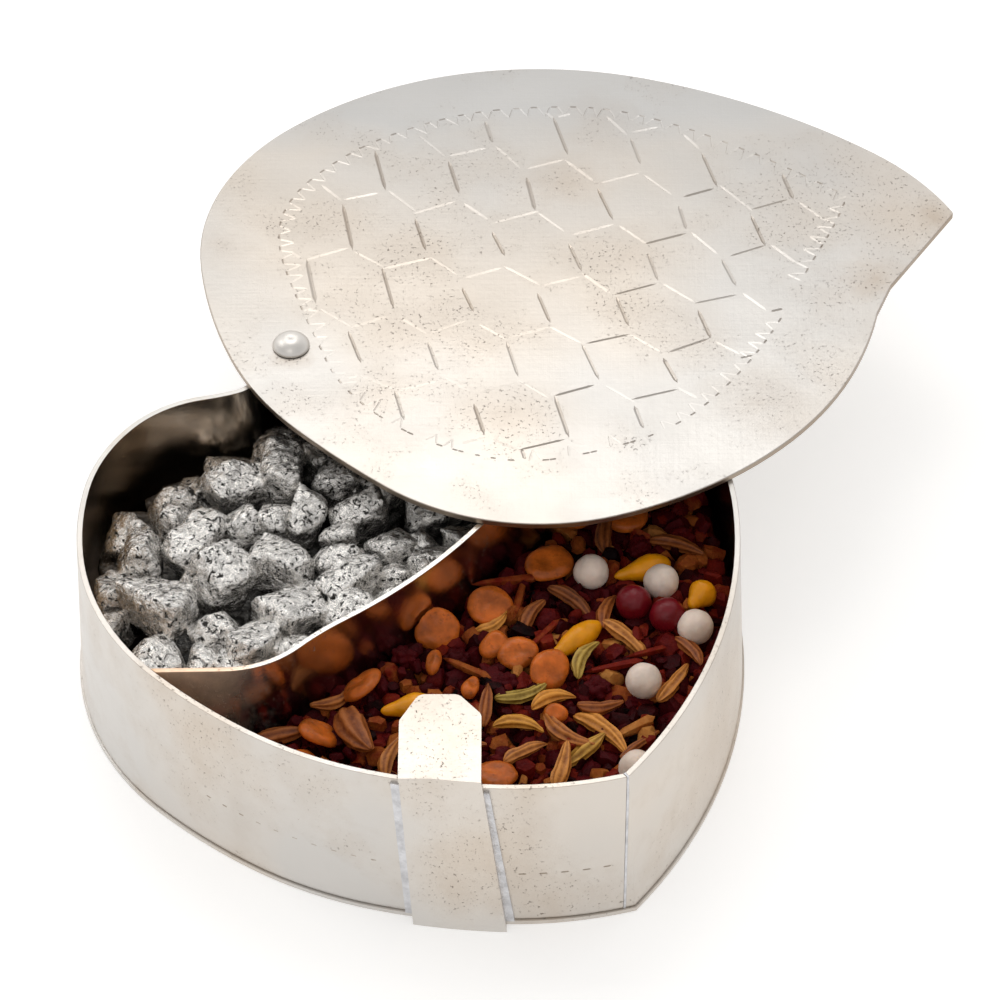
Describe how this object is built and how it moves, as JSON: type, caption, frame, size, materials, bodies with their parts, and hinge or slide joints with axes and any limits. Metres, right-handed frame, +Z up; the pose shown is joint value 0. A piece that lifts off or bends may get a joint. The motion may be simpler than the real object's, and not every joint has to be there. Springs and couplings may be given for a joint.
{
  "type": "puja box",
  "caption": "Leaf-shaped sheet-metal box with a lid that swings on one rivet, a curved divider and a catch strap, holding coated nuts and a seed mix.",
  "frame": {"origin": "on the underside of the base plate, near its middle", "axes": "+Z up, -Y towards the catch strap, +X to the right seen from the catch; the lid stands swung open, towards +X and +Y"},
  "size_m": [0.1096, 0.1285, 0.0258],
  "materials": {
    "silver_sheet": "hand-beaten silver-coloured sheet, scuffed and lightly tarnished",
    "engraved_lid": "silver-coloured sheet with engraved lines, polished by handling, brown tarnish along edges",
    "rivet_metal": "domed rivet head, worn bright",
    "solder": "dull blue-grey solder",
    "silver_leaf": "beaten silver leaf broken by dark specks",
    "spice_crumbs": "dark red-brown chopped spices, slightly sticky",
    "white_sugar": "matt sugar coating",
    "red_sugar": "matt red sugar coating",
    "yellow_sugar": "matt yellow sugar coating",
    "orange_seed": "smooth roasted split seed",
    "fennel": "dry ridged seed"
  },
  "bodies": {
    "box": {"base_plate": "silver_sheet", "side_wall": "silver_sheet", "seam_solder": "solder", "base_solder": "solder", "divider": "silver_sheet", "divider_solder": "solder", "pivot_lug": "silver_sheet", "lug_solder": "solder", "pivot_rivet": "rivet_metal", "catch_strap": "silver_sheet", "catch_solder": "solder", "nut_bed": "silver_leaf", "silver_nuts": "silver_leaf", "spice_bed": "spice_crumbs", "white_candies": "white_sugar", "red_candies": "red_sugar", "yellow_candies": "yellow_sugar", "orange_lentils": "orange_seed", "fennel_seeds": "fennel"},
    "lid": {"lid": "engraved_lid"}
  },
  "joints": [
    {"name": "lid_swing", "type": "hinge", "parent": "box", "child": "lid", "pos_m": [-0.0149, 0.0313, 0.0239], "axis": [0, 0, 1], "range_deg": [-80, 234]}
  ]
}
